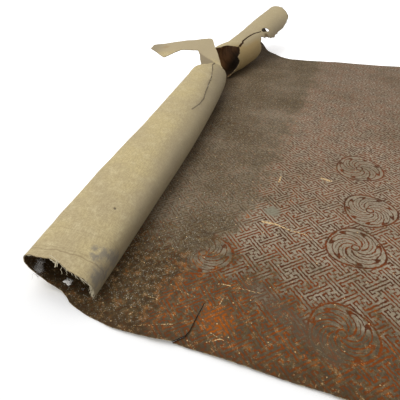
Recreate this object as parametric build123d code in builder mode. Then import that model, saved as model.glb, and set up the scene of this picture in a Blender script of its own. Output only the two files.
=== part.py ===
from build123d import *

# One sheet of thick embossed paper. It lies flat, and its left end curls once, up and over
# to the right, into an open roll whose free edge lies back on the sheet. The far part of the
# roll is torn: a gap, a strip that stands out to the left, cracks, a hole and a ragged end.
#
# Frame: +Z up from the table, +Y across the sheet from its near edge to its far edge, +X along
# the flat part away from the roll. The origin is under the middle of the flat part.

import math
import os

# Sheet. Places across its width are given for the drawn width and stretch with the sheet's own.
paper_thickness = 0.7
sheet_width = 530.0
drawn_width = 530.0
flat_length = 250.0

# Roll. Seen along +Y a section is a chain of arcs that turns clockwise: the rise from the table,
# the left shoulder, the crown and the right flank, each with a radius and the degrees it turns.
# The last arc tucks in to the free edge.
mouth_radii = [60.0, 8.5, 60.0, 10.0]
mouth_turns = [42.0, 128.0, 35.0, 72.0]
mouth_tuck = 3.5
waist_radii = [28.0, 18.0, 23.0, 18.0]
waist_turns = [62.0, 112.0, 60.0, 55.0]
waist_tuck = 11.0
tip_radii = [44.0, 24.0, 22.0, 20.0]
tip_turns = [62.0, 112.0, 60.0, 52.0]
tip_tuck = 12.0
free_edge_clearance = 0.4
tip_edge_height = 17.0

# Along the sheet's width, measured from its near edge
mouth_place = 10.0
gap_front = 347.0
waist_place = 388.0
gap_back = 402.0
flare_place = 440.0
tip_place = 560.0
end_overrun = 20.0
tip_overrun = 30.0

# Where the curl leaves the table, as distance across the width and distance to the right of
# the near corner. The roll lies a little askew, and its torn far part leans to the right.
curl_line = [(-20.0, 6.0), (10.0, 5.0), (100.0, 0.0), (200.0, -6.0), (300.0, -16.0), (345.0, -22.0),
             (410.0, -26.0), (455.0, -17.0), (490.0, -7.0), (525.0, 7.0), (580.0, 34.0)]

# What is left of the rise in the gap, in degrees of its arc
gap_rise_turn = 22.0

# Torn strip: it leaves the crown at the gap, bends up, arches over and droops to its tip.
# Each bend has a radius and the degrees it turns, and the strip climbs towards the far edge.
strip_radii = [60.0, -120.0, -300.0]
strip_turns = [12.0, 20.0, 7.0]
strip_climb = 0.24
strip_crown_turn = 40.0

# Outlines in plan, as distance to the right of the near corner and distance from the near edge.
# Torn edges have no rule, so their points are chosen one by one.
near_edge = [(-14.0, 7.5), (-9.6, 5.5), (-6.1, 3.0), (-1.6, 1.5), (8.9, -1.0), (28.0, -4.0), (73.0, -1.5)]
rim_corner = 0.0
rim = [(-50.0, 8.0), (-38.0, 8.0), (-26.0, 7.0), (-13.0, 8.5), (0.0, 6.0), (7.0, 6.5), (9.0, 9.0),
       (20.0, 12.0)]
far_edge = [(-8.0, 548.0), (5.0, 538.0), (16.0, 530.0), (30.0, 518.0), (44.0, 511.0), (59.0, 510.0),
            (74.0, 512.0), (103.0, 517.0), (132.0, 521.0), (167.0, 524.0), (200.0, 529.0)]
front_lip = [(-70.0, 331.0), (-38.0, 331.0), (-30.0, 335.0), (-23.1, 345.0), (-22.5, 350.0)]
back_lip = [(-70.0, 404.0), (-35.3, 403.0), (-33.3, 407.0), (-31.0, 413.0), (-24.3, 419.0), (-17.2, 428.0),
            (-13.6, 421.0), (-13.0, 412.5), (-11.8, 416.0), (-8.0, 416.0)]
tip_end = [(-40.0, 561.0), (-14.0, 563.0), (0.0, 570.0), (8.0, 574.0), (18.0, 568.0), (27.0, 562.0),
           (45.0, 560.0)]
strip_outline = [(-39.0, 335.5), (-20.0, 342.0), (-17.5, 347.0), (-24.0, 360.0), (-35.0, 378.0),
                 (-42.0, 391.5), (-48.5, 393.0), (-63.6, 381.7), (-82.0, 375.0), (-99.0, 372.4),
                 (-117.6, 373.0), (-119.4, 364.4), (-103.5, 350.0), (-88.3, 337.6), (-80.7, 345.4),
                 (-72.7, 355.6), (-52.0, 361.0), (-47.5, 356.0), (-42.0, 345.0)]
far_hole = [(-1.8, 499.0), (0.3, 504.0), (3.7, 509.0), (6.5, 511.5), (7.4, 509.5), (5.6, 503.5), (1.7, 493.5),
            (-1.3, 491.5)]
front_crack = [(-23.8, 338.0), (-16.9, 312.0), (-12.8, 289.0), (-10.0, 269.0), (-7.2, 257.0), (-6.6, 241.0),
               (-8.3, 224.0)]
back_crack = [(-17.2, 426.0), (-16.5, 447.0), (-13.2, 462.0), (-7.8, 480.5), (-1.0, 493.0)]
edge_slit = [(63.0, 37.0), (61.0, 16.0), (59.0, 9.0), (53.0, 4.5), (46.0, 1.0)]

# Torn edges of the right flank, as distance from the near edge and height: its corner at the
# gap, and the tip, where the flank's foot and free edge are gone as well
flank_corner_left = -22.0
flank_corner = [(352.0, 25.0), (345.0, 24.0), (340.0, 20.0), (335.0, 15.0), (331.0, 9.0), (328.0, 0.9),
                (352.0, 0.9)]
tip_flank_left = -3.0
tip_flank_foot = 14.0
tip_flank = [(486.0, 32.0), (488.5, 36.8), (492.5, 34.6), (500.0, 31.5), (512.0, 28.8), (522.0, 27.5),
             (534.0, 31.5), (548.0, 37.3), (556.0, 43.0), (564.0, 51.7)]
lost_foot_bottom = 3.0
lost_foot_top = 28.0
lost_foot = [(-18.0, 486.0), (40.0, 486.0), (40.0, 548.0), (8.0, 548.0), (-4.0, 515.0)]

# Cuts
plate_run_in = 2.0
slit_width = 0.5
front_crack_width = 0.6
back_crack_width = 1.5
low_cut_top = 16.0
upper_cut_bottom = 20.0
cut_margin = 60.0

stretch = sheet_width / drawn_width
half_width = sheet_width / 2
flat_right = flat_length / 2
flat_left = -flat_length / 2
plate_left = flat_left + curl_line[-1][1] + plate_run_in
ceiling = 2 * sum(tip_radii)
strip_reach = max(place for _, place in strip_outline) - gap_front + end_overrun


def blended(first, second, share):
    return first + (second - first) * share


def curl_start(place):
    for (near, start), (far, end) in zip(curl_line, curl_line[1:]):
        if place <= far:
            return flat_left + blended(start, end, (place - near) / (far - near))
    return flat_left + curl_line[-1][1]


def section_sizes(place):
    """Arcs, tuck and free edge height of the roll at a distance from the near edge."""
    resting = paper_thickness + free_edge_clearance
    if place < waist_place:
        share = max(0.0, (place - mouth_place) / (waist_place - mouth_place))
        first = mouth_radii, mouth_turns, mouth_tuck, resting
        second = waist_radii, waist_turns, waist_tuck, resting
    else:
        share = max(0.0, (place - flare_place) / (tip_place - flare_place))
        first = waist_radii, waist_turns, waist_tuck, resting
        second = tip_radii, tip_turns, tip_tuck, tip_edge_height
    radii = [blended(*pair, share) for pair in zip(first[0], second[0])]
    turns = [blended(*pair, share) for pair in zip(first[1], second[1])]
    return zip(radii, turns), blended(first[2], second[2], share), blended(first[3], second[3], share)


def step_along(point, heading, radius, turn):
    """End of an arc that turns clockwise by turn degrees, or the other way if radius is negative."""
    side = 1 if radius > 0 else -1
    normal = math.radians(heading - 90 * side)
    centre = (point[0] + abs(radius) * math.cos(normal), point[1] + abs(radius) * math.sin(normal))
    new_heading = heading - turn * side
    back = math.radians(new_heading + 90 * side)
    end = (centre[0] + abs(radius) * math.cos(back), centre[1] + abs(radius) * math.sin(back))
    return end, new_heading


def roll_chain(place):
    """The arcs of a section at a distance from the near edge, as (point, heading, radius, turn)."""
    arcs, tuck, edge_height = section_sizes(place)
    point, heading = (curl_start(place), 0.0), 180.0
    chain = []
    for radius, turn in arcs:
        chain.append((point, heading, radius, turn))
        point, heading = step_along(point, heading, radius, turn)
    run, drop = -tuck, edge_height - point[1]
    chord = math.hypot(run, drop)
    half_turn = (heading - math.degrees(math.atan2(drop, run)) + 180) % 360 - 180
    chain.append((point, heading, chord / (2 * math.sin(math.radians(half_turn))), 2 * half_turn))
    return chain


def arc_points(point, heading, radius, turn, lift):
    """Start, middle and end of an arc, lifted off the outer face towards the dark side."""
    found = []
    for share in (0, 0.5, 1):
        (x, z), at = step_along(point, heading, radius, turn * share)
        side = math.radians(at - 90)
        found.append((x + lift * math.cos(side), z + lift * math.sin(side)))
    return found


def across(place):
    """Plane of the section at a distance from the near edge, with X right and Z up."""
    return Plane.XZ.offset(half_width - place * stretch)


def paper_section(place, chain, thickness, run_in=None):
    """The paper's thickness along a chain of arcs, with a flat run-in on its right."""
    outer = [arc_points(*arc, 0.0) for arc in chain]
    inner = [arc_points(*arc, thickness) for arc in chain]
    with BuildSketch(across(place)) as section:
        with BuildLine():
            if run_in is None:
                Line(inner[0][0], outer[0][0])
            else:
                Polyline(inner[0][0], (run_in, thickness), (run_in, 0), outer[0][0])
            for start, middle, end in outer:
                ThreePointArc(start, middle, end)
            Line(outer[-1][2], inner[-1][2])
            for start, middle, end in reversed(inner):
                ThreePointArc(end, middle, start)
        make_face()
    return section.sketch


def roll_section(place):
    return paper_section(place, roll_chain(place), paper_thickness, plate_left)


def gap_section(place):
    point, heading, radius, _ = roll_chain(place)[0]
    return paper_section(place, [(point, heading, radius, gap_rise_turn)], paper_thickness, plate_left)


def strip_section():
    """The torn strip where it meets the roll, from the crown's right side to the strip's tip."""
    crown_start, crown_heading, crown_radius, _ = roll_chain(gap_front)[2]
    start, heading = step_along(crown_start, crown_heading, crown_radius, crown_heading + strip_crown_turn)
    point, heading = start, heading + 180
    chain = []
    for radius, turn in zip([-crown_radius] + strip_radii, [strip_crown_turn] + strip_turns):
        chain.append((point, heading, radius, turn))
        point, heading = step_along(point, heading, radius, turn)
    return paper_section(gap_front, chain, -paper_thickness)


def plan(points):
    """Points given from the near corner, moved to the part's frame."""
    return [(x + flat_left, y * stretch - half_width) for x, y in points]


def beyond(curve, corners, bottom):
    """The region in plan between a smooth edge and the outer corners that close it."""
    with BuildSketch(Plane.XY.offset(bottom)) as cut:
        with BuildLine():
            Spline(*plan(curve))
            Polyline(*plan([curve[-1]] + corners + [curve[0]]))
        make_face()
    return cut.sketch


def within(corners, bottom):
    """The region in plan inside a row of straight edges."""
    with BuildSketch(Plane.XY.offset(bottom)) as cut:
        with BuildLine():
            Polyline(*plan(corners), close=True)
        make_face()
    return cut.sketch


def tear_line(points, width, bottom):
    """A narrow tear along a row of points in plan."""
    with BuildSketch(Plane.XY.offset(bottom)) as cut:
        with BuildLine():
            Polyline(*plan(points))
        trace(line_width=width)
    return cut.sketch


def upwards(region, height=None):
    """Cut the sheet upwards from a region in plan."""
    extrude(region, amount=height or ceiling, dir=(0, 0, 1), mode=Mode.SUBTRACT)


def rightwards(corners, left):
    """Cut the sheet to the right, inside a row of straight edges seen from the right."""
    with BuildSketch(Plane.YZ.offset(flat_left + left)) as cut:
        with BuildLine():
            Polyline(*[(place * stretch - half_width, height) for place, height in corners], close=True)
        make_face()
    extrude(cut.sketch, amount=ceiling, dir=(1, 0, 0), mode=Mode.SUBTRACT)


front_bends = [place for place, _ in curl_line if place < gap_front - end_overrun]
front_places = front_bends + [gap_front]
flare_bends = [place for place, _ in curl_line if flare_place < place < tip_place]
back_places = [gap_back] + flare_bends + [tip_place + tip_overrun]
below = -paper_thickness
far_left = -2 * cut_margin
far_right = flat_length + cut_margin
far_back = drawn_width + 2 * cut_margin

# The strip torn out of the roll's left wall
with BuildPart() as torn_strip:
    extrude(strip_section(), amount=strip_reach, dir=(0, 1, strip_climb), both=True)
    extrude(within(strip_outline, 0), amount=ceiling, mode=Mode.INTERSECT)

with BuildPart() as sheet:
    # Flat part, then the roll in front of the gap, in the gap and behind it
    with BuildSketch():
        with Locations(((plate_left + flat_right) / 2, 0)):
            Rectangle(flat_right - plate_left, sheet_width + 2 * end_overrun)
    extrude(amount=paper_thickness)
    loft([roll_section(place) for place in front_places], ruled=True)
    loft([gap_section(place) for place in (gap_front, gap_back)])
    loft([roll_section(place) for place in back_places])

    # Near edge, with a torn step where it passes under the roll, and the rim set back from it
    step_left, step_back = near_edge[0]
    near_corners = [(far_right, near_edge[-1][1]), (far_right, -cut_margin), (far_left, -cut_margin),
                    (far_left, step_back)]
    upwards(beyond(near_edge, near_corners, below))
    over_rise = [point for point in rim if point[0] <= rim_corner]
    over_flat = [point for point in rim if point[0] >= rim_corner]
    for edge, bottom in ((over_rise, low_cut_top), (over_flat, paper_thickness + free_edge_clearance / 2)):
        corners = [(edge[-1][0], -cut_margin), (edge[0][0], -cut_margin)]
        upwards(within(edge + corners, bottom))

    # Far edge of the lower layer, then the ragged end of the roll that reaches past it
    far_corners = [(far_right, far_edge[-1][1]), (far_right, far_back), (far_edge[0][0], far_back)]
    upwards(beyond(far_edge, far_corners, below), low_cut_top - below)
    tip_corners = [(tip_end[-1][0], far_back), (tip_end[0][0], far_back)]
    upwards(beyond(tip_end, tip_corners, below))
    flank_corners = [(far_back, tip_flank[-1][1]), (far_back, tip_flank_foot),
                     (tip_flank[0][0], tip_flank_foot)]
    rightwards(tip_flank + flank_corners, tip_flank_left)
    upwards(within(lost_foot, lost_foot_bottom), lost_foot_top - lost_foot_bottom)

    # Gap's lips, the hole near the tip, the cracks and the slit
    upwards(within(front_lip + [(front_lip[0][0], front_lip[-1][1])], upper_cut_bottom))
    rightwards(flank_corner, flank_corner_left)
    lip_corners = [(back_lip[-1][0], gap_front), (back_lip[0][0], gap_front)]
    upwards(within(back_lip + lip_corners, upper_cut_bottom))
    upwards(within(far_hole, upper_cut_bottom))
    upwards(tear_line(front_crack, front_crack_width, upper_cut_bottom))
    upwards(tear_line(back_crack, back_crack_width, upper_cut_bottom))
    upwards(tear_line(edge_slit, slit_width, below), 3 * paper_thickness)
    add(torn_strip.part)

sheet.part.label = "sheet"
os.makedirs("parts", exist_ok=True)
export_step(sheet.part, "parts/sheet.step")
print("volume", sheet.part.volume, "solids", len(sheet.part.solids()), "valid", sheet.part.is_valid)
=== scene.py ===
# A sheet of thick embossed paper, dressed for a picture. It is cut flat, with its torn outline,
# cracks and slit, and is then curled along the same sections as the solid it stands for.
#
# Places on the paper are in millimetres, as distance to the right of the near corner and distance
# from the near edge. The curl starts on a line across the paper, and a run is the distance from
# that line round the roll. The flat part has negative runs.

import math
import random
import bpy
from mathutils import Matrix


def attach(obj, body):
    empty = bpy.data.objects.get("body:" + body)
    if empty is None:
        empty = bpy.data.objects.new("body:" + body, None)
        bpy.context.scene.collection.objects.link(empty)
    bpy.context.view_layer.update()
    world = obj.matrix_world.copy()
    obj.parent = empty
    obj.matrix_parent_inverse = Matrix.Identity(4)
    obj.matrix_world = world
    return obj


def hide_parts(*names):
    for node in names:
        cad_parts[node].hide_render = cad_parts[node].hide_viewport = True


bl_info = {
    "name": "Embossed Paper Scroll",
    "version": (1, 0, 0),
    "blender": (4, 5, 0),
    "location": "3D View > Sidebar > Paper Scroll",
    "description": "A half rolled sheet of worn, embossed paper with a torn roll",
    "category": "Object",
}

from functools import lru_cache, partial, reduce

import bmesh
import bpy
import numpy as np
from mathutils import Vector, noise
from mathutils.geometry import delaunay_2d_cdt

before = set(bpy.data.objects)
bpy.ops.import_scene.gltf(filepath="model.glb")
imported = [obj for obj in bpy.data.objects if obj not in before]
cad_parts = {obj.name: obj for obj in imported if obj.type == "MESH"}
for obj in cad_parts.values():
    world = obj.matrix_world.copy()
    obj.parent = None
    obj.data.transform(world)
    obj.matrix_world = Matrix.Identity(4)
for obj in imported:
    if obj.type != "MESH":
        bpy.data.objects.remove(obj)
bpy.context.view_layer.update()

MM = 0.001
# The mesh keeps this distance from its edge points, and is sharp beyond this angle
EDGE_ROOM = 0.6
SHARP_ANGLE = 50
# Rows of mesh points across the sheet, from and to these distances from the near edge
FILL_PLACES = (-5, 575)
FILL_STEP = 3

# Sheet
PAPER_THICKNESS = 0.7
FLAT_WAVE = 0.7
SLIT_LIFT = 1.5
SLIT_OVERLAP = 0.8
CRACK_LIFT = 0.9
SHEET_WIDTH = 530
FLAT_LENGTH = 250

# Roll. A section is a chain of arcs, each a radius and the degrees it turns, and a tuck to the
# free edge.
MOUTH_ARCS = [(60, 42), (8.5, 128), (60, 35), (10, 72)]
MOUTH_TUCK = 3.5
WAIST_ARCS = [(28, 62), (18, 112), (23, 60), (18, 55)]
WAIST_TUCK = 11
TIP_ARCS = [(44, 62), (25, 112), (27, 60), (20, 52)]
TIP_TUCK = 12
RESTING_EDGE = 1.1
TIP_EDGE_HEIGHT = 17
MOUTH_PLACE = 10
GAP_FRONT = 347
WAIST_PLACE = 388
GAP_BACK = 402
FLARE_PLACE = 440
TIP_PLACE = 560
CURL_LINE = [
    (-20, 6), (10, 5), (100, 0), (200, -6), (300, -16), (345, -22), (410, -26), (455, -12),
    (490, 0), (525, 10), (580, 28),
]

# Torn strip
GAP_RISE_TURN = 22
STRIP_BENDS = [(60, 12), (-120, 20), (-300, 7)]
STRIP_CLIMB = 0.24
STRIP_CROWN_TURN = 40
STRIP_OUTLINE = [
    (-39, 335.5), (-20, 342), (-15, 346.4), (-18, 350), (-24, 360), (-29.5, 369.5), (-35, 378),
    (-42, 391.5), (-45, 394.5), (-48.5, 393), (-63.6, 381.7), (-82, 375), (-99, 372.4),
    (-117.6, 373), (-119.4, 364.4), (-103.5, 350), (-88.3, 337.6), (-80.7, 345.4), (-72.7, 355.6),
    (-52, 361), (-47.5, 356), (-42, 345),
]
# A fold at the strip's root, and how steeply the paper beyond it drops
FOLD_SLOPE = 0.45
STRIP_FOLD = [(-49, 359), (-21, 345)]

# Edges of the flat part, as distance to the right and distance from the near edge
NEAR_EDGE = [(8.9, -1), (28, -4), (73, -1.5)]
FAR_EDGE = [
    (-8, 548), (5, 538), (16, 530), (30, 518), (44, 511), (59, 510), (74, 512), (103, 517),
    (132, 521), (167, 524), (200, 529),
]
TIP_END = [(-40, 572), (-18, 576), (-8, 581), (-3, 575), (4.5, 571.5), (12.5, 568.7)]
# The tip's end holds above this height and beyond this run. A run's end is found by tries
LOW_EDGE_TOP = 16
LOW_EDGE_RUN = 60
FAR_END_GUESS = 540
FAR_END_TRIES = 8

# Edges and tears of the roll, as run round the roll and distance from the near edge
MOUTH_EDGE = [
    (-3.5, -1), (2, 0.5), (7, 1.5), (11.5, 3), (15, 5.5), (19.5, 7.5), (23.5, 8), (53.5, 8),
    (68, 7), (72.5, 7.5), (77.5, 8.5), (85, 8), (92.5, 6), (99.5, 6), (108.5, 7), (113, 7.5),
    (118, 8.5), (122, 11), (125.5, 14),
]
FRONT_LIP = [
    (120, 330), (112, 335), (106, 340), (102, 345), (100.5, 348), (93, 347.3), (82, 347.3),
    (79.7, 345), (72.5, 335), (64.5, 331), (50, 331), (36, 336), (22, 347),
]
BACK_LIP = [
    (10, 402), (67.3, 402), (69.1, 407), (70.9, 413), (76.3, 418.5), (83.1, 427.1), (91, 420.6),
    (93.9, 412.2), (100.2, 415.2), (104.2, 414.6), (109.7, 412.7), (118, 403), (130, 402),
]
TIP_FLANK = [
    (103, 470.5), (100.2, 473), (97.1, 477.3), (100.5, 479.7), (105.7, 485), (114, 497.5),
    (119.7, 507), (120.8, 514), (122.4, 521), (124.2, 530), (126.3, 540), (126, 552), (123, 559.5),
    (119, 562.5), (112, 566.3), (107, 568.7),
]
FRONT_CRACK = [
    (79.7, 345.6), (78.9, 338), (85.9, 312), (90, 289), (92.7, 269), (95.8, 257), (95.8, 241),
    (93.1, 224),
]
BACK_CRACK = [(83.1, 428), (78, 444), (81.3, 457.2), (86.9, 473.4), (94, 484.5)]
FAR_HOLE = [
    (93.2, 490.4), (95.5, 495.2), (99.8, 499.3), (103.7, 500.6), (104.8, 498.2), (101.5, 493.5),
    (98, 487.5), (94.2, 486),
]
EDGE_SLIT = [
    (61, -6), (66, -1), (68.5, 2), (70.4, 4), (71.5, 8), (71.8, 14.5), (72.7, 22.3), (73.2, 30.7),
]

# Loose fibres at the mouth, between two places, each with a radius and its unsteadiness
STRANDS = [
    ((-10.2, 7.5, 32.4), (-13.7, 7.5, 24.6), 0.5, 0.25),
    ((-9.5, 7.8, 32), (-12, 7.6, 26), 0.25, 0.3), ((-8.1, 8, 29.5), (-11.2, 8, 18.9), 0.18, 0.5),
    ((-6.7, 9, 27), (-7, 9, 18.5), 0.14, 0.5), ((-1, 7.4, 27.5), (3.5, 7, 24), 0.22, 0.4),
    ((1, 7, 26.5), (7.2, 6.6, 21.5), 0.18, 0.5), ((-16, 8.2, 34.5), (-8, 6.8, 32), 0.2, 0.3),
    ((7.5, 12, 9.5), (4.6, 12, 1.6), 0.5, 0.4), ((8, 11, 10.5), (3.2, 11.4, 3), 0.3, 0.5),
    ((-34, 8.5, 27), (-25.5, 8, 31), 0.35, 0.15),
]
RIM_FIBRES = 70
FLANK_FIBRES = 90
# Fluff between two places, with the number of its fibres and how far they spread
FLUFFS = [
    ((-24.5, 9, 27), (-28.5, 9, 17), 45, 1.4), ((-28.5, 9.5, 18), (-31, 9.5, 10), 90, 1.9),
    ((-12.7, 18, 2.6), (-12, 18, 2.4), 12, 0.5), ((-3.5, 14.6, 1.8), (-3.2, 14.6, 1.6), 8, 0.4),
]
# Lowest place of the fluff's ends
FLUFF_FLOOR = 1.2
WAD = ((-14.2, 14.6, 3.3), (3, 2.4, 2.3))

# Print. Lengths of the fret are in widths of its bands
FRET_PITCH = 2.6
FRET_CELL = 5
FRET_HALF_LINE = 0.225
FRET_SOFTNESS = 0.09
ROUNDEL_RADIUS = 20.5
BOSS_RADIUS = 2.8
# Roundels on the flat part, as distance to the right, distance from the near edge, petals, curl
# and turn
ROUNDELS = [
    (167.5, 162, 9, 0.13, 0.3), (159, 114, 7, -0.15, 1), (157, 224, 8, 0.12, 0.8),
    (155, 37.5, 8, -0.13, 0.6), (57.6, 72, 9, -0.12, 0.4), (21, 255.6, 7, 0.13, 0.2),
    (226, 262, 8, 0.14, 1.2), (218, 88, 7, 0.12, 0.1),
]
SCRATCHES = [
    ((89.6, 119.6), (100.1, 119.9), 1.3), ((100.1, 119.9), (111.4, 116.7), 0.8),
    ((111.4, 116.7), (124.9, 115.3), 0.5), ((126, 196.1), (134, 194.2), 1.7),
    ((91.2, 177.4), (91.4, 185.8), 0.8), ((78.8, 49.2), (84.2, 49.4), 0.7),
    ((89.5, 49.6), (105.1, 50.1), 0.35), ((82.4, 33.6), (83, 37.9), 0.5),
    ((84, 11.6), (92.5, 9.1), 0.35), ((83.7, 5.3), (91.1, 10), 0.35), ((37.8, 24), (44.7, 24), 0.3),
    ((40.2, 0.7), (61.8, 9.3), 0.25), ((52.3, 35.2), (66, 33.4), 0.25),
]
# Where the worn paper by the roll ends, and how far the browner paper reaches from the near edge
SEAM_PLACE = 80
NEAR_BAND = 82
SPECK_SPACING = 16
WORN_DISC = (94.3, 134.4, 0)
ORANGE_PATCH = (84, 22, 0)
DULL_BAND = ((98, 54), (152, 21))

# Back of the roll
MOUTH_CREASES = [(12, 0.5), (14.5, 0.22), (31, 0.18)]
CREASE_SLANT = 0.145
STAINS = [
    ((-95, 22, 0), 4), ((-93, 28, 0), 3), ((-100, 28, 0), 5), ((-108, 31, 0), 7),
    ((-116, 36, 0), 6), ((-105, 15, 0), 8), ((-112, 22, 0), 6),
]
SPOT = (-91, 64, 0)
STRIP_SPOT = (-97, 362, 0)
HOLE_FOOT = (-106, 487, 0)


def blended(first, second, share):
    return first + (second - first) * share


def along(points, at):
    """Value at a place on straight lines through (place, value) points."""
    if at <= points[0][0]:
        return points[0][1]
    for (start, low), (end, high) in zip(points, points[1:]):
        if at <= end:
            return blended(low, high, (at - start) / (end - start))
    return points[-1][1]


def smoothly(points, at):
    """Value at a place on a smooth curve through (place, value) points."""
    if at <= points[0][0] or at >= points[-1][0]:
        return along(points, at)
    k = next(k for k in range(len(points) - 1) if at <= points[k + 1][0])
    (start, low), (end, high) = points[k], points[k + 1]
    before = points[max(k - 1, 0)]
    after = points[min(k + 2, len(points) - 1)]
    reach = end - start
    slope_low = (high - before[1]) / (end - before[0]) * reach
    slope_high = (after[1] - low) / (after[0] - start) * reach
    t = (at - start) / reach
    return (low * (2 * t**3 - 3 * t**2 + 1) + slope_low * (t**3 - 2 * t**2 + t)
            + high * (3 * t**2 - 2 * t**3) + slope_high * (t**3 - t**2))


def fade(low, high, at):
    """Rises smoothly from 0 at low to 1 at high."""
    share = min(1, max(0, (at - low) / (high - low)))
    return share * share * (3 - 2 * share)


def ripple(x, y, size, seed):
    """Smooth unevenness between about -1 and 1, of a given size in millimetres."""
    return noise.noise(Vector((x / size + 7.3 * seed, y / size - 3.1 * seed, 1.7 * seed)))


def curl_start(place):
    """Distance to the right at which the paper starts to curl."""
    return smoothly(CURL_LINE, place)


def section_sizes(place):
    """The section's arcs, its tuck and the height of its free edge."""
    waist = (WAIST_ARCS, WAIST_TUCK, RESTING_EDGE)
    if place < WAIST_PLACE:
        share = max(0, (place - MOUTH_PLACE) / (WAIST_PLACE - MOUTH_PLACE))
        first, second = (MOUTH_ARCS, MOUTH_TUCK, RESTING_EDGE), waist
    else:
        share = max(0, (place - FLARE_PLACE) / (TIP_PLACE - FLARE_PLACE))
        first, second = waist, (TIP_ARCS, TIP_TUCK, TIP_EDGE_HEIGHT)
    arcs = [(blended(r1, r2, share), blended(t1, t2, share))
            for (r1, t1), (r2, t2) in zip(first[0], second[0])]
    return arcs, blended(first[1], second[1], share), blended(first[2], second[2], share)


def step_along(point, heading, radius, turn):
    """End of an arc that turns clockwise by degrees, or the other way if radius is negative."""
    side = 1 if radius > 0 else -1
    normal = math.radians(heading - 90 * side)
    centre = (point[0] + abs(radius) * math.cos(normal), point[1] + abs(radius) * math.sin(normal))
    new_heading = heading - turn * side
    back = math.radians(new_heading + 90 * side)
    end = (centre[0] + abs(radius) * math.cos(back), centre[1] + abs(radius) * math.sin(back))
    return end, new_heading


@lru_cache(maxsize=None)
def roll_chain(place):
    """The section's arcs at a distance from the near edge, as (point, heading, radius, turn)."""
    arcs, tuck, edge_height = section_sizes(place)
    point, heading = (curl_start(place), 0), 180
    chain = []
    for radius, turn in arcs:
        chain.append((point, heading, radius, turn))
        point, heading = step_along(point, heading, radius, turn)
    run, drop = -tuck, edge_height - point[1]
    chord = math.hypot(run, drop)
    half_turn = (heading - math.degrees(math.atan2(drop, run)) + 180) % 360 - 180
    chain.append((point, heading, chord / (2 * math.sin(math.radians(half_turn))), 2 * half_turn))
    return chain


def arc_length(radius, turn):
    return abs(radius * math.radians(turn))


def roll_length(place):
    """Length of the paper from the curl's start to the roll's free edge."""
    return sum(arc_length(radius, turn) for _, _, radius, turn in roll_chain(place))


def roll_place(place, run):
    """Point and heading on the outer face at a run round the section."""
    if run <= 0:
        return (curl_start(place) - run, 0), 180
    chain = roll_chain(place)
    for point, heading, radius, turn in chain:
        length = arc_length(radius, turn)
        if run <= length or chain[-1][0] == point:
            return step_along(point, heading, radius, math.degrees(run / abs(radius)))
        run -= length
    return chain[-1][0], chain[-1][1]


def near_place(run):
    """Distance from the near edge at which the paper starts, on a run."""
    if run > MOUTH_EDGE[0][0]:
        return along(MOUTH_EDGE, run)
    return smoothly(NEAR_EDGE, curl_start(0) - run)


def far_place(run):
    """Distance from the near edge at which the paper ends, on a run."""
    place = FAR_END_GUESS
    for _ in range(FAR_END_TRIES):
        (x, z), _ = roll_place(place, run)
        if run > 0 and (z > LOW_EDGE_TOP or run > LOW_EDGE_RUN):
            place = smoothly(TIP_END, x)
        else:
            place = smoothly(FAR_EDGE, x)
    return place


def steps(start, end, size):
    count = max(1, round(abs(end - start) / size))
    return [blended(start, end, k / count) for k in range(count + 1)]


def pushed(point, before, after, shift):
    """A point moved across the line from the point before it to the one after it."""
    (x, y), (x0, y0), (x1, y1) = point, before, after
    length = math.hypot(x1 - x0, y1 - y0) or 1
    return x - (y1 - y0) / length * shift, y + (x1 - x0) / length * shift


def frayed(points, depth, seed):
    """Points of an edge, moved a little across it so that it looks torn."""
    moved = [points[0]]
    for k in range(1, len(points) - 1):
        x, y = points[k]
        shift = depth * (ripple(x, y, 14, seed) + 0.5 * ripple(x, y, 5, seed + 1)
                         + 0.35 * ripple(x, y, 2, seed + 2))
        shift *= min(1, k / 4, (len(points) - 1 - k) / 4)
        moved.append(pushed(points[k], points[k - 1], points[k + 1], shift))
    moved.append(points[-1])
    return moved


def cut_flat(run, place):
    """A place given as a run and a distance from the near edge, on the flat paper."""
    return curl_start(place) - run, place


def flat_points(points):
    return [cut_flat(*point) for point in points]


def stepped(corners, step):
    """Points on straight lines through corners, up to the last corner."""
    points = []
    for (x0, y0), (x1, y1) in zip(corners, corners[1:]):
        count = max(1, round(math.hypot(x1 - x0, y1 - y0) / step))
        points += [(blended(x0, x1, k / count), blended(y0, y1, k / count)) for k in range(count)]
    return points + corners[-1:]


def cut_along(corners, step):
    """Points on straight lines through corners given as runs and distances from the near edge."""
    return flat_points(stepped(corners, step))


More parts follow.
